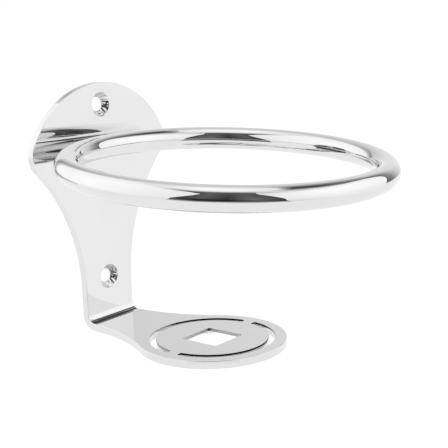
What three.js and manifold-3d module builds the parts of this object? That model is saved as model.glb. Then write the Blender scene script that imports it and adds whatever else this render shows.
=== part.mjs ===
// Wall-mounted hair dryer holder, chrome-plated steel.
//
// A bracket bent from one flat plate is screwed to the wall. Its upright half is the wall plate, and its
// lower half turns out from the wall as a shelf with a round end. A ring of round bar is welded to the wall
// plate's front face, above the shelf. The dryer stands in the ring with its nozzle on the shelf.
//
// Millimetres. +Z is up, +Y points into the wall, +X is to the right of a person who faces the wall.
// The origin is on the wall plate's back face, at mid-width, at the height where the ring meets the plate.

import * as THREE from 'three';
import { mergeVertices } from 'three/addons/utils/BufferGeometryUtils.js';
import Module from 'manifold-3d';

// ---------------------------------------------------------------- driving dimensions

const PLATE_THICKNESS = 3;
const BEND_INNER_RADIUS = 3;

// Wall plate: a wide round head, rounded shoulders and hollow flanks that narrow to a straight neck.
const HEAD_RADIUS = 41.2;
const HEAD_CENTRE_Z = -16.6;
const SHOULDER_RADIUS = 9.5;
const FLANK_RADIUS = 71;
const NECK_HALF_WIDTH = 13;
const NECK_TOP_Z = -57.8;

// Two countersunk holes for 5 mm wood screws.
const SCREW_HOLE_HEIGHTS = [16, -54];
const SCREW_HOLE_RADIUS = 2.75;
const COUNTERSINK_RADIUS = 4.9;

// Shelf: the neck flares out into a round end.
const SHELF_TOP_Z = -70.5;
const SHELF_RADIUS = 28.4;
const SHELF_CENTRE_REACH = 53.1; // from the wall plate's front face to the middle of the round end

// Two narrow arc slots round the middle of the shelf, parted by two bridges, and a square hole inside them.
const SLOT_INNER_RADIUS = 21.5;
const SLOT_OUTER_RADIUS = 24;
const BRIDGE_WIDTH = 4.8;
const SQUARE_HOLE_SIDE = 16;

// Ring of round bar. It droops a little towards the front.
const RING_RADIUS = 58; // to the middle of the bar
const BAR_RADIUS = 4.5;
const RING_DROOP = THREE.MathUtils.degToRad(3.3);

// Weld beads above and below the line where the ring meets the plate.
const WELD_HALF_LENGTH = 10;
const WELD_HEIGHT = 3.4;

const CLEARANCE = 0.3; // between neighbouring pieces
const OVERCUT = 1; // how far a cutter runs past the face that it cuts
const SAME_POINT = 1e-4; // points closer than this are one point

// ---------------------------------------------------------------- fineness of the curves

const ARC_DIVISIONS = 12;
const HOLE_SEGMENTS = 40;
const SLOT_SEGMENTS = 96;
const RING_SEGMENTS = 120;
const BAR_SEGMENTS = 20;

// ---------------------------------------------------------------- derived places

const PLATE_FRONT_Y = -PLATE_THICKNESS;
const SHELF_CENTRE_Y = PLATE_FRONT_Y - SHELF_CENTRE_REACH;
const SHELF_BOTTOM_Z = SHELF_TOP_Z - PLATE_THICKNESS;
const SHELF_FRONT_Y = SHELF_CENTRE_Y - SHELF_RADIUS;
const HEAD_TOP_Z = HEAD_CENTRE_Z + HEAD_RADIUS;
const BEND_OUTER_RADIUS = BEND_INNER_RADIUS + PLATE_THICKNESS;
const BEND_CENTRE_Y = -BEND_OUTER_RADIUS;
const BEND_CENTRE_Z = SHELF_BOTTOM_Z + BEND_OUTER_RADIUS;
const BAR_BACK_Y = PLATE_FRONT_Y - CLEARANCE - BAR_RADIUS; // middle of the bar where it meets the plate

// ---------------------------------------------------------------- solids

const wasm = await Module();
wasm.setup();

function solidFrom(geometry) {
  const bare = geometry.clone();
  bare.deleteAttribute('normal');
  bare.deleteAttribute('uv');
  const merged = mergeVertices(bare, SAME_POINT);
  const vertProperties = new Float32Array(merged.attributes.position.array);
  const triVerts = new Uint32Array(merged.index.array);
  return new wasm.Manifold(new wasm.Mesh({ numProp: 3, vertProperties, triVerts }));
}

function geometryFrom(solid) {
  const mesh = solid.getMesh();
  const geometry = new THREE.BufferGeometry();
  geometry.setAttribute('position', new THREE.BufferAttribute(new Float32Array(mesh.vertProperties), 3));
  geometry.setIndex(new THREE.BufferAttribute(new Uint32Array(mesh.triVerts), 1));
  geometry.computeVertexNormals();
  return geometry;
}

function box(low, high) {
  const size = new THREE.Vector3().subVectors(high, low);
  const middle = new THREE.Vector3().addVectors(low, high).multiplyScalar(0.5);
  return new THREE.BoxGeometry(size.x, size.y, size.z).translate(middle.x, middle.y, middle.z);
}

// A shape that is symmetric about x = 0, from the path of its right half, which runs from bottom to top.
function symmetricShape(rightHalf) {
  const right = rightHalf.getPoints(ARC_DIVISIONS);
  const offCentre = right.filter((point) => point.x > SAME_POINT);
  const left = offCentre.map((point) => new THREE.Vector2(-point.x, point.y));
  return new THREE.Shape([...right, ...left.reverse()]);
}

// ---------------------------------------------------------------- bracket

// The corner arc that touches the head circle from inside and the flank circle from outside.
function shoulderCentre(head, flank) {
  const between = new THREE.Vector2().subVectors(flank, head);
  const distance = between.length();
  const toHead = HEAD_RADIUS - SHOULDER_RADIUS;
  const toFlank = FLANK_RADIUS + SHOULDER_RADIUS;
  const along = (toHead ** 2 - toFlank ** 2 + distance ** 2) / (2 * distance);
  const across = Math.sqrt(toHead ** 2 - along ** 2);
  const direction = between.normalize();
  const sideways = new THREE.Vector2(-direction.y, direction.x);
  return head.clone().addScaledVector(direction, along).addScaledVector(sideways, across);
}

function angleFrom(centre, target) {
  return Math.atan2(target.y - centre.y, target.x - centre.x);
}

// Seen from the front, in X and Z.
function wallPlateOutline() {
  const head = new THREE.Vector2(0, HEAD_CENTRE_Z);
  const flank = new THREE.Vector2(NECK_HALF_WIDTH + FLANK_RADIUS, NECK_TOP_Z);
  const shoulder = shoulderCentre(head, flank);
  const path = new THREE.Path();
  path.moveTo(NECK_HALF_WIDTH, SHELF_BOTTOM_Z - OVERCUT);
  path.lineTo(NECK_HALF_WIDTH, NECK_TOP_Z);
  const shoulderStart = angleFrom(shoulder, flank);
  const shoulderEnd = angleFrom(head, shoulder);
  path.absarc(flank.x, flank.y, FLANK_RADIUS, Math.PI, angleFrom(flank, shoulder), true);
  path.absarc(shoulder.x, shoulder.y, SHOULDER_RADIUS, shoulderStart, shoulderEnd, false);
  path.absarc(head.x, head.y, HEAD_RADIUS, shoulderEnd, Math.PI / 2, false);
  return symmetricShape(path);
}

// Seen from above, in X and in reach: the distance out from the wall plate's front face.
function shelfOutline() {
  const spread = SHELF_RADIUS - NECK_HALF_WIDTH;
  const flareRadius = (SHELF_CENTRE_REACH ** 2 + NECK_HALF_WIDTH ** 2 - SHELF_RADIUS ** 2) / (2 * spread);
  const flare = new THREE.Vector2(NECK_HALF_WIDTH + flareRadius, 0);
  const middle = new THREE.Vector2(0, SHELF_CENTRE_REACH);
  const path = new THREE.Path();
  path.moveTo(NECK_HALF_WIDTH, -PLATE_THICKNESS - OVERCUT);
  path.lineTo(NECK_HALF_WIDTH, 0);
  path.absarc(flare.x, flare.y, flareRadius, Math.PI, angleFrom(flare, middle), true);
  path.absarc(middle.x, middle.y, SHELF_RADIUS, angleFrom(middle, flare), Math.PI / 2, false);
  return symmetricShape(path);
}

// Seen from the side, in Y and Z: the plate comes down the wall, bends and runs out as the shelf.
function bentStrip() {
  const shape = new THREE.Shape();
  shape.moveTo(PLATE_FRONT_Y, HEAD_TOP_Z + OVERCUT);
  shape.lineTo(PLATE_FRONT_Y, BEND_CENTRE_Z);
  shape.absarc(BEND_CENTRE_Y, BEND_CENTRE_Z, BEND_INNER_RADIUS, 0, -Math.PI / 2, true);
  shape.lineTo(SHELF_FRONT_Y - OVERCUT, SHELF_TOP_Z);
  shape.lineTo(SHELF_FRONT_Y - OVERCUT, SHELF_BOTTOM_Z);
  shape.lineTo(BEND_CENTRE_Y, SHELF_BOTTOM_Z);
  shape.absarc(BEND_CENTRE_Y, BEND_CENTRE_Z, BEND_OUTER_RADIUS, -Math.PI / 2, 0, false);
  shape.lineTo(0, HEAD_TOP_Z + OVERCUT);
  const width = 2 * (HEAD_RADIUS + OVERCUT);
  const extrusion = { depth: width, bevelEnabled: false, curveSegments: ARC_DIVISIONS };
  const strip = new THREE.ExtrudeGeometry(shape, extrusion);
  const alongX = new THREE.Matrix4().makeBasis(
    new THREE.Vector3(0, 1, 0),
    new THREE.Vector3(0, 0, 1),
    new THREE.Vector3(1, 0, 0),
  );
  return strip.applyMatrix4(alongX).translate(-width / 2, 0, 0);
}

function wallPlateBlank() {
  const depth = BEND_OUTER_RADIUS + OVERCUT;
  const prism = new THREE.ExtrudeGeometry(wallPlateOutline(), { depth, bevelEnabled: false });
  return prism.rotateX(Math.PI / 2).translate(0, OVERCUT, 0);
}

function shelfBlank() {
  const depth = BEND_OUTER_RADIUS + 2 * OVERCUT;
  const prism = new THREE.ExtrudeGeometry(shelfOutline(), { depth, bevelEnabled: false });
  return prism.rotateX(Math.PI).translate(0, PLATE_FRONT_Y, SHELF_BOTTOM_Z - OVERCUT + depth);
}

// A straight hole with a 90 degree countersink at the plate's front face, turned about the Y axis.
function screwHoleCutter(height) {
  const widest = COUNTERSINK_RADIUS + OVERCUT;
  const coneDepth = COUNTERSINK_RADIUS - SCREW_HOLE_RADIUS;
  const profile = [
    new THREE.Vector2(0, -OVERCUT),
    new THREE.Vector2(widest, -OVERCUT),
    new THREE.Vector2(SCREW_HOLE_RADIUS, coneDepth),
    new THREE.Vector2(SCREW_HOLE_RADIUS, PLATE_THICKNESS + OVERCUT),
    new THREE.Vector2(0, PLATE_THICKNESS + OVERCUT),
  ];
  return new THREE.LatheGeometry(profile, HOLE_SEGMENTS).translate(0, PLATE_FRONT_Y, height);
}

function slotCutter() {
  const low = SHELF_BOTTOM_Z - OVERCUT;
  const high = SHELF_TOP_Z + OVERCUT;
  const profile = [
    new THREE.Vector2(SLOT_INNER_RADIUS, low),
    new THREE.Vector2(SLOT_OUTER_RADIUS, low),
    new THREE.Vector2(SLOT_OUTER_RADIUS, high),
    new THREE.Vector2(SLOT_INNER_RADIUS, high),
    new THREE.Vector2(SLOT_INNER_RADIUS, low),
  ];
  return new THREE.LatheGeometry(profile, SLOT_SEGMENTS).rotateX(Math.PI / 2).translate(0, SHELF_CENTRE_Y, 0);
}

function bridgeBlock() {
  const reach = SLOT_OUTER_RADIUS + OVERCUT;
  return box(
    new THREE.Vector3(-reach, SHELF_CENTRE_Y - BRIDGE_WIDTH / 2, SHELF_BOTTOM_Z - 2 * OVERCUT),
    new THREE.Vector3(reach, SHELF_CENTRE_Y + BRIDGE_WIDTH / 2, SHELF_TOP_Z + 2 * OVERCUT),
  );
}

function squareHoleCutter() {
  const half = SQUARE_HOLE_SIDE / 2;
  return box(
    new THREE.Vector3(-half, SHELF_CENTRE_Y - half, SHELF_BOTTOM_Z - OVERCUT),
    new THREE.Vector3(half, SHELF_CENTRE_Y + half, SHELF_TOP_Z + OVERCUT),
  );
}

function bracketGeometry() {
  const outline = solidFrom(wallPlateBlank()).add(solidFrom(shelfBlank()));
  let bracket = solidFrom(bentStrip()).intersect(outline);
  for (const height of SCREW_HOLE_HEIGHTS) {
    bracket = bracket.subtract(solidFrom(screwHoleCutter(height)));
  }
  bracket = bracket.subtract(solidFrom(slotCutter()).subtract(solidFrom(bridgeBlock())));
  return geometryFrom(bracket.subtract(solidFrom(squareHoleCutter())));
}

// ---------------------------------------------------------------- ring and its welds

// A ring of round bar about the Z axis, moved out so that the middle of its bar passes through the origin.
function barRing(barRadius) {
  const ring = new THREE.TorusGeometry(RING_RADIUS, barRadius, BAR_SEGMENTS, RING_SEGMENTS);
  return ring.translate(0, -RING_RADIUS, 0);
}

// The wedge between the ring and the plate, on one side of the ring: side is 1 above it and -1 below.
function weldBeadGeometry(side) {
  const shape = new THREE.Shape();
  shape.moveTo(-WELD_HALF_LENGTH, 0);
  shape.quadraticCurveTo(0, 2 * WELD_HEIGHT, WELD_HALF_LENGTH, 0);
  const front = BAR_BACK_Y;
  const back = PLATE_FRONT_Y - CLEARANCE;
  const block = new THREE.ExtrudeGeometry(shape, { depth: back - front, bevelEnabled: false });
  block.rotateX(Math.PI / 2).translate(0, back, 0);
  if (side < 0) {
    block.rotateY(Math.PI);
  }
  const roomForRing = barRing(BAR_RADIUS + CLEARANCE).rotateX(RING_DROOP).translate(0, BAR_BACK_Y, 0);
  return geometryFrom(solidFrom(block).subtract(solidFrom(roomForRing)));
}

// ---------------------------------------------------------------- materials and assembly

function chrome(color, roughness) {
  return new THREE.MeshStandardMaterial({ color, roughness, metalness: 1 });
}

const holder = new THREE.Group();

function addPiece(name, geometry, material) {
  const mesh = new THREE.Mesh(geometry, material);
  mesh.name = name;
  holder.add(mesh);
  return mesh;
}

addPiece('wall_bracket', bracketGeometry(), chrome(0xe4e5e7, 0.06));

const ring = addPiece('dryer_ring', barRing(BAR_RADIUS), chrome(0xe8e9eb, 0.04));
ring.rotation.x = RING_DROOP;
ring.position.y = BAR_BACK_Y;

addPiece('ring_weld_upper', weldBeadGeometry(1), chrome(0xe0e1e3, 0.12));
addPiece('ring_weld_lower', weldBeadGeometry(-1), chrome(0xe0e1e3, 0.12));

export default holder;
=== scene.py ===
import math

import bpy
from mathutils import Matrix, Vector
from mathutils.geometry import tessellate_polygon


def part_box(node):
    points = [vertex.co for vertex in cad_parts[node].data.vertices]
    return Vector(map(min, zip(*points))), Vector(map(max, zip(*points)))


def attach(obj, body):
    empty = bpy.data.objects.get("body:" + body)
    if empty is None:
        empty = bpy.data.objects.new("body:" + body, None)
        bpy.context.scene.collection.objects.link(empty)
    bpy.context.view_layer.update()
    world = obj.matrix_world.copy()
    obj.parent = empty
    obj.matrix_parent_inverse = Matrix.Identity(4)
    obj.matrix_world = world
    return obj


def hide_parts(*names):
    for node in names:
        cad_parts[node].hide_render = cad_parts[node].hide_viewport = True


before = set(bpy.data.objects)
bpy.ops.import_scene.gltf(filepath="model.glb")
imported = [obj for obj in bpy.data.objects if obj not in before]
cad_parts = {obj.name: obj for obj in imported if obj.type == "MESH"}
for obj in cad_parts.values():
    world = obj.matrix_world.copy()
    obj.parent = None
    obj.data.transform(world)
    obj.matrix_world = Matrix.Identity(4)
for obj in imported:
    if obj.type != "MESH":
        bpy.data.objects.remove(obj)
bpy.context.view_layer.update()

# A chrome-plated hair dryer holder: a plate bent once into a wall plate and a shelf, and a ring of round
# bar that is welded to the wall plate. Metres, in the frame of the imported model: +Z up, +Y into the wall,
# origin on the wall plate's back face at the height of the ring's weld.

MM = 0.001

# ---------------------------------------------------------------- sizes

bracket_low, bracket_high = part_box("wall_bracket")
ring_low, ring_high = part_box("dryer_ring")

PLATE = 3 * MM                                  # thickness
BEND_INNER = 3 * MM                             # radius inside the bend
BEND_OUTER = BEND_INNER + PLATE
SHELF_TOP = bracket_low.z + PLATE
HEAD_RADIUS = 41.2 * MM                         # the wall plate's round top
HEAD_CENTRE = bracket_high.z - HEAD_RADIUS      # its height
SHOULDER_RADIUS = 9.5 * MM                      # where the head turns into the flanks
FLANK_RADIUS = 71 * MM                          # the hollow sides between head and neck
NECK = 13 * MM                                  # half the neck's width
NECK_TOP = -57.8 * MM                           # height where the neck starts to widen
SHELF_RADIUS = 28.4 * MM                        # the shelf's round end
SHELF_REACH = -bracket_low.y - PLATE - SHELF_RADIUS     # to its middle, from the wall plate's front
SLOT_INNER = 21.5 * MM                          # the arc slots' inner radius
SLOT_OUTER = 24 * MM
BRIDGE = 4.8 * MM                               # between the two slots' ends
SQUARE = 16 * MM
SCREW_HEIGHTS = (16 * MM, -54 * MM)
SCREW_RADIUS = 2.75 * MM
COUNTERSINK_RADIUS = 4.9 * MM
CONE_ANGLE = math.radians(45)                   # of the countersink, from the plate's face

EDGE = 0.18 * MM                                # rounding of the plate's front edges
BACK_EDGE = 0.3 * MM
HOLE_EDGE = 0.2 * MM
CORNER = 0.7 * MM                               # inner corners of the cut-outs
LIP = 0.25 * MM                                 # rounding where the countersink meets the face
THROAT = 0.25 * MM                              # rounding where it meets the bore
BORE_EDGE = 0.15 * MM                           # rounding of the bore's back edge
FACE_TILT = (0.004, 0.018)                      # of the wall plate's polish, to the right and upwards

# The countersink bit's marks, as waves in the cone: height, lobes round the hole, twist per mm of depth,
# start.
TOOL_MARKS = (
    (0.06 * MM, 15, 1.4, 0.5),
    (0.045 * MM, 7, -3, 1),
    (0.04 * MM, 10, 3.6, 2),
)
MARKS_FIRST = 0.1 * MM                          # depths between which the marks run
MARKS_LAST = 2.2 * MM
MARKS_FADE_IN = 0.2 * MM
MARKS_FADE_OUT = 0.3 * MM

BAR = 4.5 * MM                                  # bar radius
RING = (ring_high.x - ring_low.x) / 2 - BAR     # to the middle of the bar
DROOP = math.radians(3.3)
BAR_BACK = Vector((0, ring_high.y - BAR, 0))    # middle of the bar at the weld

WELD_HALF_LENGTH = 10 * MM
WELD_HEIGHT = 3.4 * MM
WELD_END_HEIGHT = 0.12 * MM
WELD_GAP = 0.02 * MM                            # to the bar and to the plate
WELD_ROOT = 0.35                                # where the weld starts, as a share of its height
WELD_SPREAD = 0.12                              # how much higher it reaches on the plate than on the bar
WELD_HOLLOW = 0.9                               # how far its face is drawn in

# How much painted light and shade the chrome's colour carries, against the open faces: painted shade inside
# the cut-outs, along the back edges and in the bend, and painted light deep in the square hole and a little
# in the countersinks.
# Below 0 it is black but for the brightest speckles.
FULL = 1.0
CONE_PAINTED_LIGHT = 1.05
BACK_CORNER_SHADE = 0.5
SLOT_WALL_SHADE = -0.2
SLOT_END_SHADE = 0.55
SLOT_DEPTHS_SHADE = 0.88
SQUARE_WALL_SHADE = 0.52
SQUARE_CORNER_SHADE = 0.05
SQUARE_DEPTHS_LIGHT = 1.3
BEND_CREASE_SHADE = -0.2

# Where the painted shade lies. Depths are from the front face. Parts of the bend run from 0 at the top to
# 1.
SLOT_SHADE_DEPTH = 0.58 * MM
SQUARE_SHADE_DEPTH = 1.15 * MM
SHADE_FADE = 0.12 * MM
CREASE_LINE = 0.62
CREASE_LINE_WIDTH = 0.04
CREASE_BAND = (0.71, 0.98)
CREASE_FADE = 0.03
SQUARE_CORNER_TURN = 0.15                       # a wall this much askew belongs to a corner
SLOT_END_FACING = (0.61, -0.79)                 # walls that face this way, across and along, get less painted shade
SLOT_END_FROM = 0.6
SLOT_END_FADE = 0.15
SLOT_END_OPPOSITE = 0.25                        # how much less this counts for outer walls that face away

# How finely the curves are divided.
DISC_STEPS = 90                                 # the head and the shelf's round end
HOLLOW_STEPS = 60                               # the flanks, and where the neck widens into the shelf
SHOULDER_STEPS = 40
BEND_STEPS = 60
SLOT_STEPS = 120
SLOT_CORNER_STEPS = 6
SQUARE_CORNER_STEPS = 8
HOLE_STEPS = 300
EDGE_STEPS = 6
HOLE_EDGE_STEPS = 5
CONE_STEPS = 12
RING_STEPS = 384
BAR_STEPS = 56
WELD_STEPS = 48
WELD_SECTION_STEPS = 10

SAME_PLACE = 1e-7                               # points closer than this are one point
TINY = 1e-8                                     # slack where s is compared with the ends of the bend

# ---------------------------------------------------------------- helpers


def mix(a, b, t):
    return [x + (y - x) * t for x, y in zip(a, b)]


def clamp(value):
    return min(max(value, 0), 1)


def new_object(name, mesh):
    piece = bpy.data.objects.new(name, mesh)
    bpy.context.scene.collection.objects.link(piece)
    return piece


def new_mesh(name, points, faces, material):
    mesh = bpy.data.meshes.new(name)
    mesh.from_pydata([tuple(p) for p in points], [], faces)
    mesh.materials.append(material)
    return mesh


def add_values(mesh, name, values):
    mesh.attributes.new(name, "FLOAT", "POINT").data.foreach_set("value", values)


def make_piece(name, points, faces, material, normals=None, painted_shading=None):
    """A smooth closed mesh. With a known normal at every point, its flat faces mirror flat and its rims
    mirror round."""
    mesh = new_mesh(name, points, faces, material)
    mesh.polygons.foreach_set("use_smooth", [True] * len(mesh.polygons))
    if normals:
        mesh.normals_split_custom_set_from_vertices([tuple(n) for n in normals])
    # Painted light and shade in the colour, per point; FULL where none is painted.
    add_values(mesh, "painted_shading", painted_shading or [FULL] * len(points))
    mesh.validate()
    mesh.update()
    return new_object(name, mesh)


def number_rows(first, rows, length):
    """The numbers of the points, row by row, where each row has the same length."""
    return [range(first + i * length, first + (i + 1) * length) for i in range(rows)]


def join_rows(row, following):
    """The faces between two closed rows of point numbers."""
    count = len(row)
    faces = []
    for i in range(count):
        j = (i + 1) % count
        faces.append((row[i], following[i], following[j], row[j]))
    return faces


def arc(centre, radius, start, end, steps, side=1):
    """Points (x, s, nx, ns) along an arc. The normal points away from its centre, or towards it where side
    is -1."""
    points = []
    for i in range(steps + 1):
        angle = start + (end - start) * i / steps
        cosine, sine = math.cos(angle), math.sin(angle)
        x, s = centre[0] + radius * cosine, centre[1] + radius * sine
        points.append((x, s, side * cosine, side * sine))
    return points


def angle_from(centre, target):
    return math.atan2(target[1] - centre[1], target[0] - centre[0])


def mirrored(points):
    return [(-x, s, -nx, ns) for x, s, nx, ns in reversed(points)]


def without_doubles(loop):
    kept = []
    for point in loop:
        if not kept or math.dist(point[:2], kept[-1][:2]) > SAME_PLACE:
            kept.append(point)
    if math.dist(kept[0][:2], kept[-1][:2]) < SAME_PLACE:
        kept.pop()
    return kept


# ---------------------------------------------------------------- the plate, cut flat and then bent
#
# The flat pattern has x across and s along the plate. s is the height on the wall plate, then runs on
# round the bend and out along the shelf. Depth is counted from the front face of the wall plate, which
# becomes the top of the shelf.

BEND_START = bracket_low.z + BEND_OUTER         # s where the bend starts
BEND_LENGTH = BEND_INNER * math.pi / 2          # s is counted along the inner face of the bend
BEND_END = BEND_START - BEND_LENGTH


def along(reach):
    """s of a place on the shelf, from its distance to the wall plate's front face."""
    return BEND_END - (reach - BEND_INNER)


DISC_MIDDLE = (0, along(SHELF_REACH))


def on_wall_plate(s):
    return s >= BEND_START - TINY


def on_shelf(s):
    return s <= BEND_END + TINY


def on_bend(s):
    return BEND_END - TINY <= s <= BEND_START + TINY


def fold(x, s, depth):
    """A point of the flat pattern where it lies after bending."""
    if s >= BEND_START:
        return Vector((x, -PLATE + depth, s))
    centre_y = -PLATE - BEND_INNER
    if s <= BEND_END:
        return Vector((x, centre_y - (BEND_END - s), SHELF_TOP - depth))
    angle = (BEND_START - s) / BEND_LENGTH * math.pi / 2
    radius = BEND_INNER + depth
    return Vector((x, centre_y + radius * math.cos(angle), BEND_START - radius * math.sin(angle)))


def fold_normal(nx, ns, front, s):
    """A direction of the flat pattern after bending: nx across, ns along, front out of the front face."""
    angle = clamp((BEND_START - s) / BEND_LENGTH) * math.pi / 2
    up = Vector((0, math.sin(angle), math.cos(angle)))
    out = Vector((0, -math.cos(angle), math.sin(angle)))
    return (Vector((nx, 0, 0)) + up * ns + out * front).normalized()


def shoulder_centre(head, flank):
    """The middle of the arc that touches the head circle from inside and the flank circle from outside."""
    distance = math.dist(head, flank)
    to_head = HEAD_RADIUS - SHOULDER_RADIUS
    to_flank = FLANK_RADIUS + SHOULDER_RADIUS
    reach = (to_head ** 2 - to_flank ** 2 + distance ** 2) / (2 * distance)
    across = math.sqrt(to_head ** 2 - reach ** 2)
    ux, us = (flank[0] - head[0]) / distance, (flank[1] - head[1]) / distance
    return head[0] + ux * reach - us * across, head[1] + us * reach + ux * across


def outer_outline():
    """The plate's outline, anticlockwise from the front of the shelf, with a point on each line of the
    bend."""
    flare_radius = (SHELF_REACH ** 2 + NECK ** 2 - SHELF_RADIUS ** 2) / (2 * (SHELF_RADIUS - NECK))
    flare = (NECK + flare_radius, along(0))
    flare_end = math.pi + math.asin(BEND_INNER / flare_radius)
    turn = angle_from(DISC_MIDDLE, flare)
    right = arc(DISC_MIDDLE, SHELF_RADIUS, -math.pi / 2, turn, DISC_STEPS)
    right += arc(flare, flare_radius, turn + math.pi, flare_end, HOLLOW_STEPS, -1)

    bend_width = right[-1][0]
    for i in range(1, BEND_STEPS + 1):
        part = i / BEND_STEPS
        right.append((bend_width + (NECK - bend_width) * part, BEND_END + BEND_LENGTH * part, 1, 0))

    head = (0, HEAD_CENTRE)
    flank = (NECK + FLANK_RADIUS, NECK_TOP)
    shoulder = shoulder_centre(head, flank)
    to_flank, to_head = angle_from(shoulder, flank), angle_from(head, shoulder)
    right += arc(flank, FLANK_RADIUS, math.pi, angle_from(flank, shoulder), HOLLOW_STEPS, -1)
    right += arc(shoulder, SHOULDER_RADIUS, to_flank, to_head, SHOULDER_STEPS)
    right += arc(head, HEAD_RADIUS, to_head, math.pi / 2, DISC_STEPS)
    return without_doubles(right + mirrored(right))


def screw_hole(height):
    return without_doubles(arc((0, height), SCREW_RADIUS, 0, 2 * math.pi, HOLE_STEPS, -1))


def square_hole():
    """The square hole with its small round corners, anticlockwise."""
    loop = []
    reach = SQUARE / 2 - CORNER
    for quarter, (side, end) in enumerate(((-1, -1), (1, -1), (1, 1), (-1, 1))):
        centre = (side * reach, DISC_MIDDLE[1] + end * reach)
        start = math.pi + quarter * math.pi / 2
        loop += arc(centre, CORNER, start, start + math.pi / 2, SQUARE_CORNER_STEPS, -1)
    return without_doubles(loop)


def arc_slot(side):
    """One of the two arc slots: side is 1 for the one nearer to the wall."""
    end_height = BRIDGE / 2 + CORNER
    outer, inner = SLOT_OUTER - CORNER, SLOT_INNER + CORNER
    outer_turn = math.asin(end_height / outer)
    inner_turn = math.asin(end_height / inner)
    down = math.pi * 1.5

    def corner(reach, turn, start, end):
        centre = (reach * math.cos(turn), DISC_MIDDLE[1] + end_height)
        return arc(centre, CORNER, start, end, SLOT_CORNER_STEPS, -1)

    loop = arc(DISC_MIDDLE, SLOT_OUTER, outer_turn, math.pi - outer_turn, SLOT_STEPS, -1)
    loop += corner(-outer, outer_turn, math.pi - outer_turn, down)
    loop += corner(-inner, inner_turn, -math.pi / 2, -inner_turn)
    loop += arc(DISC_MIDDLE, SLOT_INNER, math.pi - inner_turn, inner_turn, SLOT_STEPS)
    loop += corner(inner, inner_turn, math.pi + inner_turn, down)
    loop += corner(outer, outer_turn, -math.pi / 2, outer_turn)
    loop = without_doubles(loop)
    if side < 0:
        loop = [(x, 2 * DISC_MIDDLE[1] - s, nx, -ns) for x, s, nx, ns in reversed(loop)]
    return loop


# ---------------------------------------------------------------- the rims of the plate and its cut-outs
#
# A rim is a list of rows from the front face to the back. A row is (inset, depth, angle, brightness): how
# far it lies inside the outline, its depth, the angle of its normal above the flat, and the painted light
# and shade in its colour.


def rounded_rows(radius, start, end, base, steps=EDGE_STEPS, shift=0):
    """Rows of a rounded edge, between two angles of the normal. The arc's middle lies at depth base."""
    rows = []
    for i in range(steps + 1):
        angle = start + (end - start) * i / steps
        inset = shift + radius * (1 - math.cos(angle))
        rows.append((inset, base - radius * math.sin(angle), angle, FULL))
    return rows


def front_edge(radius):
    return rounded_rows(radius, math.pi / 2, 0, radius)


def back_edge(radius, steps=EDGE_STEPS):
    return rounded_rows(radius, 0, -math.pi / 2, PLATE - radius, steps)


def with_painted_shading(rows, brightness):
    return [(inset, depth, angle, brightness) for inset, depth, angle, _ in rows]


def plain_rim():
    """The plate's cut edge, with both its corners rounded and painted shade on the back one."""
    back = back_edge(BACK_EDGE)
    return front_edge(EDGE) + back[:3] + with_painted_shading(back[3:-1], BACK_CORNER_SHADE) + back[-1:]


def cut_rim(front_shade, front_shade_depth, bright):
    """The wall of a cut-out: painted shade at the front, and a lighter painted tone towards the back."""
    front, back = front_edge(HOLE_EDGE), back_edge(HOLE_EDGE)
    wall = [(0, front_shade_depth, 0, front_shade), (0, front_shade_depth + SHADE_FADE, 0, bright)]
    return front[:2] + with_painted_shading(front[2:], front_shade) + wall + with_painted_shading(back[:-1], bright) + back[-1:]


def countersunk_rim():
    """The wall of a screw hole: a 90 degree cone, then a straight bore. The cone and its throat carry a
    little painted light.
    """
    widest = COUNTERSINK_RADIUS - SCREW_RADIUS
    lean = math.tan(CONE_ANGLE / 2)
    lip_shift = widest + LIP * (lean - 1)
    lip = rounded_rows(LIP, math.pi / 2, CONE_ANGLE, LIP, HOLE_EDGE_STEPS, lip_shift)
    throat = rounded_rows(THROAT, CONE_ANGLE, 0, widest + THROAT * lean, HOLE_EDGE_STEPS)
    cone = []
    for i in range(1, CONE_STEPS):
        inset, depth = mix(lip[-1][:2], throat[0][:2], i / CONE_STEPS)
        cone.append((inset, depth, CONE_ANGLE, CONE_PAINTED_LIGHT))
    return lip + cone + with_painted_shading(throat, CONE_PAINTED_LIGHT) + back_edge(BORE_EDGE, HOLE_EDGE_STEPS)


def tool_marks(turn, depth):
    """The marks that the countersink bit leaves on the cone: how far they rise, and how they tilt its
    surface round and along it."""
    fade = clamp(min((depth - MARKS_FIRST) / MARKS_FADE_IN, (MARKS_LAST - depth) / MARKS_FADE_OUT))
    radius = max(COUNTERSINK_RADIUS - depth, SCREW_RADIUS)
    slant = math.cos(CONE_ANGLE)
    rise = round_tilt = long_tilt = 0
    for height, lobes, twist, start in TOOL_MARKS:
        wave = lobes * turn + twist * depth / MM + start
        rise += height * math.cos(wave)
        round_tilt += height * lobes / (radius * slant) * math.sin(wave)
        long_tilt -= height * twist / MM * slant * math.sin(wave)
    return rise * fade, round_tilt * fade, long_tilt * fade


def rim_point(place, row, marks):
    """A point of a rim and its normal, from a place (x, s, nx, ns) on the outline."""
    x, s, nx, ns = place
    inset, depth, angle, _ = row
    rise, round_tilt, long_tilt = marks
    inset -= rise * math.cos(angle)
    depth -= rise * math.sin(angle)
    cosine, sine = math.cos(round_tilt), math.sin(round_tilt)
    across, lengthways = nx * cosine - ns * sine, nx * sine + ns * cosine
    angle += long_tilt
    level = math.cos(angle)
    normal = fold_normal(across * level, lengthways * level, math.sin(angle), s)
    return fold(x - nx * inset, s - ns * inset, depth), normal


# ---------------------------------------------------------------- the painted light and shade


def crease_painted_shade(s):
    """Across the inside of the bend: a thin line of painted dark reflection, a gap and a band of painted
    shade.
    """
    part = (BEND_START - s) / BEND_LENGTH
    band_start, band_end = CREASE_BAND
    if not 0 < part < band_end:
        return FULL
    line = 1 - abs(part - CREASE_LINE) / CREASE_LINE_WIDTH
    band = min(part - band_start, band_end - part) / CREASE_FADE
    return FULL + (BEND_CREASE_SHADE - FULL) * clamp(max(line, band))


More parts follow.
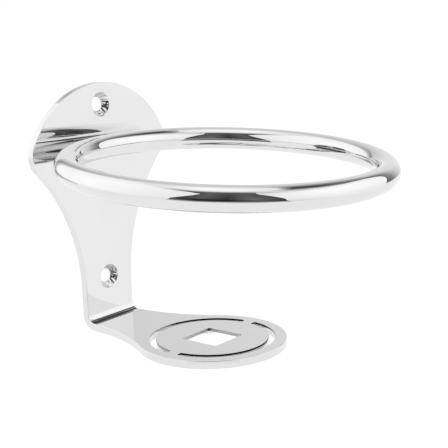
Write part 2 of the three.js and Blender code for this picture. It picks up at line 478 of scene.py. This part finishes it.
def wall_painted_shade(place, brightness):
    """On the wall of a cut-out: painted shade, darker in the square hole's corners and lighter on the slot
    walls that face one way.
    """
    x, s, nx, ns = place
    if brightness == SQUARE_WALL_SHADE and min(abs(nx), abs(ns)) > SQUARE_CORNER_TURN:
        return SQUARE_CORNER_SHADE
    if brightness != SLOT_WALL_SHADE:
        return brightness
    facing = SLOT_END_FACING[0] * nx + SLOT_END_FACING[1] * ns
    if math.dist((x, s), DISC_MIDDLE) < (SLOT_INNER + SLOT_OUTER) / 2:
        facing = -facing
    else:
        facing = max(facing, -facing - SLOT_END_OPPOSITE)
    return SLOT_WALL_SHADE + (SLOT_END_SHADE - SLOT_WALL_SHADE) * clamp((facing - SLOT_END_FROM) / SLOT_END_FADE)


# ---------------------------------------------------------------- the bracket


def bracket_loops():
    """The outline and the cut-outs, each as (loop, rim, countersunk). The cut-outs run clockwise."""
    slot_rim = cut_rim(SLOT_WALL_SHADE, SLOT_SHADE_DEPTH, SLOT_DEPTHS_SHADE)
    square_rim = cut_rim(SQUARE_WALL_SHADE, SQUARE_SHADE_DEPTH, SQUARE_DEPTHS_LIGHT)
    cuts = [(screw_hole(height), countersunk_rim(), True) for height in SCREW_HEIGHTS]
    cuts += [(arc_slot(side), slot_rim, False) for side in (1, -1)]
    cuts += [(square_hole(), square_rim, False)]
    return [(outer_outline(), plain_rim(), False)] + [(loop[::-1], *rest) for loop, *rest in cuts]


def make_bracket(material):
    points, normals, painted_shading, faces = [], [], [], []
    front_caps, back_caps = [], []
    face_normal = Vector((FACE_TILT[0], -1, FACE_TILT[1])).normalized()
    for loop, rim, countersunk in bracket_loops():
        rows = number_rows(len(points), len(rim), len(loop))
        for row in rim:
            for i, place in enumerate(loop):
                turn = 2 * math.pi * i / len(loop)
                marks = tool_marks(turn, row[1]) if countersunk else (0, 0, 0)
                point, normal = rim_point(place, row, marks)
                # Painted light and shade at this point; on the front face the bend's crease gets its own.
                brightness = wall_painted_shade(place, row[3])
                if row is rim[0]:
                    brightness = crease_painted_shade(place[1])
                    if place[1] >= BEND_START:
                        normal = face_normal
                points.append(point)
                normals.append(normal)
                painted_shading.append(brightness)
        for upper, lower in zip(rows, rows[1:]):
            faces += join_rows(upper, lower)
        front_caps.append((rows[0], loop, rim[0][0]))
        back_caps.append((rows[-1], loop, rim[-1][0]))
    faces += cap_faces(front_caps, False) + cap_faces(back_caps, True)
    return make_piece("holder_bracket", points, faces, material, normals, painted_shading)


def cap_faces(caps, flip):
    """The flat faces of the wall plate and the shelf, and the strips of the bend between them. A cap is
    (point numbers, loop, inset), and the outline comes first."""
    faces = []
    outline_numbers, outline, _ = caps[0]
    for inside in (on_wall_plate, on_shelf):
        parts = [(caps[0], [i for i, place in enumerate(outline) if inside(place[1])])]
        parts += [(cap, range(len(cap[1]))) for cap in caps[1:] if inside(cap[1][0][1])]
        numbers = [cap[0][i] for cap, chosen in parts for i in chosen]
        borders = [[flat_point(cap[1][i], cap[2]) for i in chosen] for cap, chosen in parts]
        flat_points = [point for border in borders for point in border]
        for triangle in tessellate_polygon(borders):
            a, b, c = (flat_points[i] for i in triangle)
            corners = [numbers[i] for i in triangle]
            clockwise = (b - a).cross(c - a).z < 0
            if clockwise != flip:
                corners.reverse()
            faces.append(tuple(corners))
    right = [number for number, (x, s, _, _) in zip(outline_numbers, outline) if on_bend(s) and x > 0]
    left = [number for number, (x, s, _, _) in zip(outline_numbers, outline) if on_bend(s) and x < 0]
    left.reverse()
    for k in range(len(right) - 1):
        strip = [left[k], right[k], right[k + 1], left[k + 1]]
        if flip:
            strip.reverse()
        faces.append(tuple(strip))
    return faces


def flat_point(place, inset):
    x, s, nx, ns = place
    return Vector((x - nx * inset, s - ns * inset, 0))


# ---------------------------------------------------------------- ring and welds


def make_ring(material):
    points, normals, faces = [], [], []
    droop = Matrix.Rotation(DROOP, 4, "X")
    ring_place = Matrix.Translation(BAR_BACK) @ droop @ Matrix.Translation((0, -RING, 0))
    turn = ring_place.to_3x3()
    for i in range(RING_STEPS):
        round_ring = 2 * math.pi * i / RING_STEPS
        out = Vector((math.cos(round_ring), math.sin(round_ring), 0))
        for j in range(BAR_STEPS):
            round_bar = 2 * math.pi * j / BAR_STEPS
            normal = out * math.cos(round_bar) + Vector((0, 0, math.sin(round_bar)))
            points.append(ring_place @ (out * RING + normal * BAR))
            normals.append(turn @ normal)
    rows = number_rows(0, RING_STEPS, BAR_STEPS)
    for row, following in zip(rows, rows[1:] + rows[:1]):
        faces += join_rows(row, following)
    return make_piece("holder_ring", points, faces, material, normals)


def weld_section(x):
    """The weld's outline (y, z) at x: up along the bar, then down the hollow face to the plate."""
    plate_y = -PLATE - WELD_GAP
    bar_y = BAR_BACK.y - (RING - math.sqrt(RING ** 2 - x ** 2))
    top = max(WELD_HEIGHT * (1 - (x / WELD_HALF_LENGTH) ** 2), WELD_END_HEIGHT)
    root = top * WELD_ROOT
    section = []
    for j in range(WELD_SECTION_STEPS + 1):
        z = root + (top - root) * j / WELD_SECTION_STEPS
        section.append((bar_y + math.sqrt((BAR + WELD_GAP) ** 2 - z ** 2), z))
    toe_y = section[-1][0]
    for j in range(1, WELD_SECTION_STEPS + 1):
        t = j / WELD_SECTION_STEPS
        y = toe_y + (plate_y - toe_y) * t
        pull = (1 - t) * t * WELD_HOLLOW
        section.append((min(y, plate_y), top * (1 + WELD_SPREAD * t) - (top - root) * pull))
    return section + [(plate_y, root)]


def make_weld(name, side, material):
    """The dressed weld in the wedge above (side 1) or below (side -1) the line where ring and plate meet: a
    hollow fillet that thins out at both ends."""
    points, faces = [], []
    for i in range(WELD_STEPS + 1):
        x = WELD_HALF_LENGTH * (2 * i / WELD_STEPS - 1)
        section = weld_section(x)
        points += [Vector((x, y, side * z)) for y, z in section]
    rows = number_rows(0, WELD_STEPS + 1, len(section))
    for row, following in zip(rows, rows[1:]):
        faces += join_rows(row, following)
    faces += [tuple(rows[0]), tuple(reversed(rows[-1]))]
    if side < 0:
        faces = [tuple(reversed(face)) for face in faces]
    return make_piece(name, points, faces, material)


# ---------------------------------------------------------------- chrome

CHROME = (0.755, 0.755, 0.755)
CLOUDS_PER_METRE = 45
CLOUD_DETAIL = 5
CLOUD_RANGE = (0.3, 0.7)                        # of the noise, from the darkest cloud to the brightest
CLOUD_SHADE = 0.97
GLOSS_SPREAD = 0.3                              # of the roughness, up and down
SPECKLE_SIZE = 0.45 * MM
# grows with the painted shade
SPECKLE_DETAIL = 2
SPECKLE_STRENGTH = 1.4                          # where the plating is missing
# The lowest the painted shade may take the colour.
LEAST_BRIGHTNESS = 0.01
WAVE_DETAIL = 1


class ChromeTree:
    """The node tree of a chrome material, with short ways to add its nodes."""

    def __init__(self, material):
        self.nodes = material.node_tree.nodes
        self.links = material.node_tree.links
        self.place = self.nodes.new("ShaderNodeTexCoord").outputs["Object"]

    def set(self, socket, value):
        if isinstance(value, (int, float)):
            socket.default_value = value
        else:
            self.links.new(value, socket)

    def noise(self, per_metre, detail):
        node = self.nodes.new("ShaderNodeTexNoise")
        node.inputs["Scale"].default_value = per_metre
        node.inputs["Detail"].default_value = detail
        self.links.new(self.place, node.inputs["Vector"])
        return node.outputs["Fac"]

    def calculate(self, operation, first, second):
        node = self.nodes.new("ShaderNodeMath")
        node.operation = operation
        self.set(node.inputs[0], first)
        self.set(node.inputs[1], second)
        return node.outputs["Value"]

    def scaled(self, color, factor):
        node = self.nodes.new("ShaderNodeVectorMath")
        node.operation = "SCALE"
        self.set(node.inputs["Vector"], color)
        self.set(node.inputs["Scale"], factor)
        return node.outputs["Vector"]

    def ramp(self, value, low, high):
        """A colour between low and high, from the clouds' noise."""
        node = self.nodes.new("ShaderNodeValToRGB")
        for element, position, color in zip(node.color_ramp.elements, CLOUD_RANGE, (low, high)):
            element.position = position
            element.color = (*color, 1)
        self.links.new(value, node.inputs["Fac"])
        return node.outputs["Color"]

    def spread(self, value, low, high):
        """A number between low and high, from the clouds' noise."""
        node = self.nodes.new("ShaderNodeMapRange")
        node.inputs["From Min"].default_value, node.inputs["From Max"].default_value = CLOUD_RANGE
        node.inputs["To Min"].default_value = low
        node.inputs["To Max"].default_value = high
        self.links.new(value, node.inputs["Value"])
        return node.outputs["Result"]


def make_chrome(name, roughness, waviness, wave_size):
    """Polished chrome plate: a cloudy, slightly uneven gloss, painted light and shade from the mesh,
    speckled where it is dark, and a faint waviness of the steel under it."""
    material = bpy.data.materials.new(name)
    material.use_nodes = True
    tree = ChromeTree(material)
    shader = tree.nodes["Principled BSDF"]
    shader.inputs["Metallic"].default_value = 1

    cloud = tree.noise(CLOUDS_PER_METRE, CLOUD_DETAIL)
    tint = tree.ramp(cloud, [channel * CLOUD_SHADE for channel in CHROME], CHROME)

    # Painted light and shade from the mesh: it darkens or lightens the colour, with speckles where it is
    # dark.
    painted_shading = tree.nodes.new("ShaderNodeAttribute")
    painted_shading.attribute_name = "painted_shading"
    painted_darkening = tree.calculate("SUBTRACT", 1, painted_shading.outputs["Fac"])
    speckle = tree.calculate("SUBTRACT", tree.noise(1 / SPECKLE_SIZE, SPECKLE_DETAIL), 0.5)
    shade_speckles = tree.calculate("MULTIPLY", painted_darkening, tree.calculate("MULTIPLY", speckle, SPECKLE_STRENGTH))
    brightness = tree.calculate("ADD", painted_shading.outputs["Fac"], shade_speckles)
    brightness = tree.calculate("MAXIMUM", brightness, LEAST_BRIGHTNESS)
    tree.set(shader.inputs["Base Color"], tree.scaled(tint, brightness))

    gloss = tree.spread(cloud, roughness * (1 - GLOSS_SPREAD), roughness * (1 + GLOSS_SPREAD))
    tree.set(shader.inputs["Roughness"], gloss)

    bump = tree.nodes.new("ShaderNodeBump")
    bump.inputs["Strength"].default_value = 1
    bump.inputs["Distance"].default_value = waviness
    tree.set(bump.inputs["Height"], tree.noise(1 / wave_size, WAVE_DETAIL))
    tree.set(shader.inputs["Normal"], bump.outputs["Normal"])
    return material


plate_chrome = make_chrome("plate_chrome", roughness=0.025, waviness=0.004 * MM, wave_size=9 * MM)
bar_chrome = make_chrome("bar_chrome", roughness=0.02, waviness=0.004 * MM, wave_size=7 * MM)
weld_chrome = make_chrome("weld_chrome", roughness=0.08, waviness=0.02 * MM, wave_size=1.5 * MM)

bracket = make_bracket(plate_chrome)
ring = make_ring(bar_chrome)
weld_upper = make_weld("holder_weld_upper", 1, weld_chrome)
weld_lower = make_weld("holder_weld_lower", -1, weld_chrome)

for piece, node, slot in (
    (bracket, "wall_bracket", "plate_chrome"),
    (ring, "dryer_ring", "bar_chrome"),
    (weld_upper, "ring_weld_upper", "weld_chrome"),
    (weld_lower, "ring_weld_lower", "weld_chrome"),
):
    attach(piece, "root")
    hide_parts(node)

# ---------------------------------------------------------------- studio

STUDIO_CENTRE = Vector((0, -60 * MM, -20 * MM))
PANEL_DISTANCE = 3                              # of the cards and softboxes, in metres
LAYER_GAP = 0.05
PANEL_STEPS = 12                                # between two corners
ROOM_LIGHT = 1.02


def direction(azimuth, elevation):
    """Unit vector: azimuth 0 is straight out from the wall, 90 is to the right, as seen by someone facing
    it."""
    a, e = math.radians(azimuth), math.radians(elevation)
    return Vector((math.sin(a) * math.cos(e), -math.cos(a) * math.cos(e), math.sin(e)))


def light_material():
    """Gives off the light that each corner of the mesh names, blended between the corners."""
    material = bpy.data.materials.new("studio_light")
    material.use_nodes = True
    nodes, links = material.node_tree.nodes, material.node_tree.links
    nodes.clear()
    glow = nodes.new("ShaderNodeAttribute")
    glow.attribute_name = "glow"
    light = nodes.new("ShaderNodeEmission")
    output = nodes.new("ShaderNodeOutputMaterial")
    links.new(glow.outputs["Fac"], light.inputs["Strength"])
    links.new(light.outputs["Emission"], output.inputs["Surface"])
    return material


studio_light = light_material()


def panel(name, rows, layer=0):
    """A softbox or a dark card round the object, from rows of corners, bottom row first. Each corner is
    (azimuth, elevation, brightness). The camera doesn't see it, but the chrome does. A higher layer hides a
    lower one."""
    columns = (len(rows[0]) - 1) * PANEL_STEPS
    count = (len(rows) - 1) * PANEL_STEPS
    distance = PANEL_DISTANCE - LAYER_GAP * layer
    points, glows, faces = [], [], []
    for i in range(count + 1):
        below = min(i // PANEL_STEPS, len(rows) - 2)
        row = [mix(a, b, i / PANEL_STEPS - below) for a, b in zip(rows[below], rows[below + 1])]
        for j in range(columns + 1):
            left = min(j // PANEL_STEPS, len(row) - 2)
            azimuth, elevation, brightness = mix(row[left], row[left + 1], j / PANEL_STEPS - left)
            points.append(STUDIO_CENTRE + direction(azimuth, elevation) * distance)
            glows.append(brightness)
    for i in range(count):
        for j in range(columns):
            corner = i * (columns + 1) + j
            above = corner + columns + 1
            faces.append((corner, corner + 1, above + 1, above))
    mesh = new_mesh(name, points, faces, studio_light)
    add_values(mesh, "glow", glows)
    card = new_object(name, mesh)
    card.visible_camera = False
    card.visible_diffuse = False
    card.visible_shadow = False


world = bpy.data.worlds.new("studio_world")
bpy.context.scene.world = world
world.use_nodes = True
room = world.node_tree.nodes["Background"]
room.inputs["Color"].default_value = (1, 1, 1, 1)
room.inputs["Strength"].default_value = ROOM_LIGHT

# The two big softboxes and the light from above.
panel("softbox_left", [
    [(-196, -13, 1.1), (-150, -13, 1.12), (-115, -13, 1.05), (-91, -13, 0.95)],
    [(-196, 0, 1.2), (-150, 0, 1.26), (-115, 0, 1.18), (-88, 0, 1.08)],
    [(-196, 30, 1.18), (-150, 32, 1.3), (-115, 34, 1.2), (-74, 30, 1.08)],
    [(-196, 48, 1.16), (-150, 52, 1.26), (-115, 52, 1.2), (-69, 45, 1.08)],
    [(-196, 62, 1.05), (-150, 66, 1.2), (-115, 63, 1.16), (-82, 56, 1.05)],
])
panel("softbox_right", [
    [(-15, -16, 0.8), (20, -16, 1.08), (50, -16, 1.12), (69, -16, 1.08)],
    [(-15, -4, 1.02), (20, -4, 1.15), (50, -3, 1.1), (69, -2, 1.1)],
    [(-16, 6, 1.1), (20, 10, 1.22), (50, 10, 1.22), (72, 10, 1.2)],
    [(-20, 24, 1.12), (20, 26, 1.3), (50, 26, 1.26), (80, 26, 1.2)],
    [(-24, 40, 1.08), (20, 40, 1.3), (50, 40, 1.28), (83, 35, 1.1)],
    [(-22, 50, 1.02), (20, 51, 1.1), (50, 50, 1.1), (66, 45, 1.1)],
])
panel("light_above", [
    [(-180, 72, 1.05), (-90, 70, 1.0), (0, 72, 1.05), (90, 70, 1.05), (180, 72, 1.05)],
    [(-180, 77, 1.18), (-90, 77, 1.15), (0, 77, 1.18), (90, 77, 1.18), (180, 77, 1.18)],
    [(-180, 89, 1.3), (-90, 89, 1.3), (0, 89, 1.3), (90, 89, 1.3), (180, 89, 1.3)],
])

# The dark room seen between the softboxes, on the camera's side.
panel("dark_opening", [
    [(-92, -20, 0.98), (-72, -20, 0.95), (-50, -20, 0.95), (-32, -20, 0.95), (-10, -20, 0.9)],
    [(-91, -14, 0.6), (-72, -14, 0.3), (-50, -14, 0.35), (-32, -14, 0.3), (-13, -14, 0.4)],
    [(-89, -9, 0.2), (-72, -9, 0.05), (-50, -9, 0.1), (-32, -9, 0.1), (-15, -9, 0.06)],
    [(-88, -1, 0.08), (-72, -1, 0.01), (-50, -1, 0.01), (-32, -1, 0.14), (-16, -1, 0.03)],
    [(-86, 4, 0.06), (-70, 4, 0.05), (-52, 4, 0.02), (-36, 4, 0.15), (-16, 4, 0.08)],
    [(-83, 10, 0.06), (-68, 10, 0.12), (-52, 10, 0.05), (-36, 10, 0.19), (-17, 10, 0.09)],
    [(-74, 30, 0.07), (-65, 30, 0.14), (-50, 30, 0.06), (-38, 30, 0.13), (-22, 30, 0.09)],
    [(-69, 45, 0.09), (-62, 45, 0.14), (-50, 45, 0.09), (-38, 45, 0.13), (-26, 45, 0.12)],
    [(-82, 56, 0.06), (-64, 57, 0.14), (-50, 58, 0.1), (-38, 58, 0.12), (-24, 55, 0.12)],
    [(-88, 61, 0.2), (-64, 63, 0.3), (-50, 63, 0.35), (-38, 63, 0.35), (-20, 60, 0.4)],
    [(-90, 69, 0.85), (-64, 69, 0.8), (-50, 69, 0.8), (-38, 69, 0.85), (-15, 68, 0.9)],
], 2)
panel("seam_left", [
    [(-125, 63, 1.1), (-105, 61, 0.85), (-82, 55, 0.3)],
    [(-125, 66, 0.95), (-105, 65, 0.6), (-80, 58, 0.08)],
    [(-125, 71, 0.9), (-105, 71, 0.75), (-80, 68, 0.55)],
], 1)

# The dark flags and the seams on the right.
panel("seam_right", [
    [(-22, 50, 0.95), (10, 52, 1.02), (40, 52, 0.95), (66, 45, 0.6)],
    [(-22, 56, 0.55), (10, 59, 0.85), (40, 60, 0.4), (62, 56, 0.08)],
    [(-22, 62, 0.85), (10, 64, 0.95), (40, 66, 0.16), (62, 66, 0.06)],
    [(-22, 70, 0.95), (10, 70, 1.05), (40, 69, 0.7), (62, 70, 0.7)],
], 1)
panel("flag_above", [
    [(64, 46, 0.5), (76, 42, 0.3), (84, 36, 0.2), (100, 34, 0.55), (114, 34, 0.9)],
    [(62, 56, 0.06), (74, 54, 0.08), (84, 50, 0.16), (100, 50, 0.45), (114, 50, 0.8)],
    [(62, 65, 0.05), (74, 64, 0.06), (84, 63, 0.14), (100, 61, 0.45), (114, 60, 0.8)],
    [(62, 70, 0.6), (74, 69, 0.6), (84, 68, 0.9), (100, 66, 1), (114, 65, 1)],
], 1)
panel("flag_right", [
    [(68, -5, 0.9), (78, -5, 0.8), (90, -5, 0.95), (104, -5, 1)],
    [(69, -2, 0.12), (78, -2, 0.16), (90, -2, 0.55), (104, -2, 0.95)],
    [(71, 6, 0.14), (80, 6, 0.3), (92, 6, 0.75), (104, 6, 0.92)],
    [(76, 18, 0.22), (84, 18, 0.4), (94, 18, 0.75), (106, 18, 0.92)],
    [(83, 31, 0.16), (90, 31, 0.24), (98, 31, 0.6), (110, 31, 0.92)],
    [(82, 40, 0.16), (90, 40, 0.26), (98, 40, 0.5), (112, 40, 0.88)],
], 1)

# A dark seam low on the wall behind the object.
panel("seam_low", [
    [(140, -13, 1), (158, -13, 1), (174, -13, 1), (196, -14, 1)],
    [(140, -8, 0.8), (158, -8, 0.32), (174, -9, 0.4), (196, -11, 0.7)],
    [(140, -2, 0.95), (157, -3, 0.42), (172, -5, 1), (196, -8, 1.1)],
], 1)

# The wall behind the object, with a darker streak towards its far end.
panel("back_wall", [
    [(96, -6, 0.95), (120, -6, 1.1), (136, -6, 1.05), (150, -6, 0.9), (157, -6, 0.4), (164, -6, 1)],
    [(96, 10, 0.92), (120, 10, 0.9), (136, 10, 0.8), (150, 10, 0.8), (156, 10, 0.28), (163, 10, 0.95)],
    [(96, 28, 0.8), (120, 28, 0.86), (136, 28, 0.78), (146, 28, 0.66), (154, 28, 0.42), (165, 28, 1.05)],
    [(96, 44, 0.6), (120, 44, 0.8), (136, 44, 0.74), (146, 44, 0.64), (154, 44, 0.7), (172, 44, 1)],
    [(96, 58, 0.5), (120, 58, 0.75), (136, 58, 0.76), (146, 58, 0.8), (156, 58, 0.85), (174, 58, 1)],
    [(96, 68, 1), (120, 68, 1), (136, 68, 1), (146, 68, 1), (156, 68, 1), (174, 68, 1)],
])

# ---------------------------------------------------------------- floor and camera

FLOOR_HALF = 12                                 # half its width, in metres
FLOOR_DROP = 1.15                               # below the shelf
FLOOR_PAINT = (0.9, 0.9, 0.9, 1)
FLOOR_ROUGHNESS = 0.9
FLOOR_GLOW = 0.12

CAMERA_PLACE = Vector((-306.12, -304.57, 56.46)) * MM
CAMERA_AZIMUTH = 128.2421                       # it looks this way, in degrees
CAMERA_ELEVATION = -11.9198
CAMERA_ROLL = 1.6296
SENSOR_WIDTH = 36                               # in millimetres, as the lens
LENS = 86.777

floor_paint = bpy.data.materials.new("floor_paint")
floor_paint.use_nodes = True
paint = floor_paint.node_tree.nodes["Principled BSDF"]
paint.inputs["Base Color"].default_value = FLOOR_PAINT
paint.inputs["Roughness"].default_value = FLOOR_ROUGHNESS
paint.inputs["Emission Color"].default_value = (1, 1, 1, 1)
paint.inputs["Emission Strength"].default_value = FLOOR_GLOW

floor_height = bracket_low.z - FLOOR_DROP
floor_corners = [
    (-FLOOR_HALF, -FLOOR_HALF, floor_height),
    (FLOOR_HALF, -FLOOR_HALF, floor_height),
    (FLOOR_HALF, FLOOR_HALF, floor_height),
    (-FLOOR_HALF, FLOOR_HALF, floor_height),
]
floor = new_object("studio_floor", new_mesh("studio_floor", floor_corners, [(0, 1, 2, 3)], floor_paint))

camera_data = bpy.data.cameras.new("camera")
camera_data.sensor_width = SENSOR_WIDTH
camera_data.lens = LENS
camera = new_object("camera", camera_data)
view = direction(CAMERA_AZIMUTH, CAMERA_ELEVATION)
level = view.cross(Vector((0, 0, 1))).normalized()
right = Matrix.Rotation(math.radians(CAMERA_ROLL), 3, view) @ level
up = right.cross(view)
camera.matrix_world = Matrix((
    (right.x, up.x, -view.x, CAMERA_PLACE.x),
    (right.y, up.y, -view.y, CAMERA_PLACE.y),
    (right.z, up.z, -view.z, CAMERA_PLACE.z),
    (0, 0, 0, 1),
))
bpy.context.scene.camera = camera
bpy.context.scene.view_settings.view_transform = "Standard"
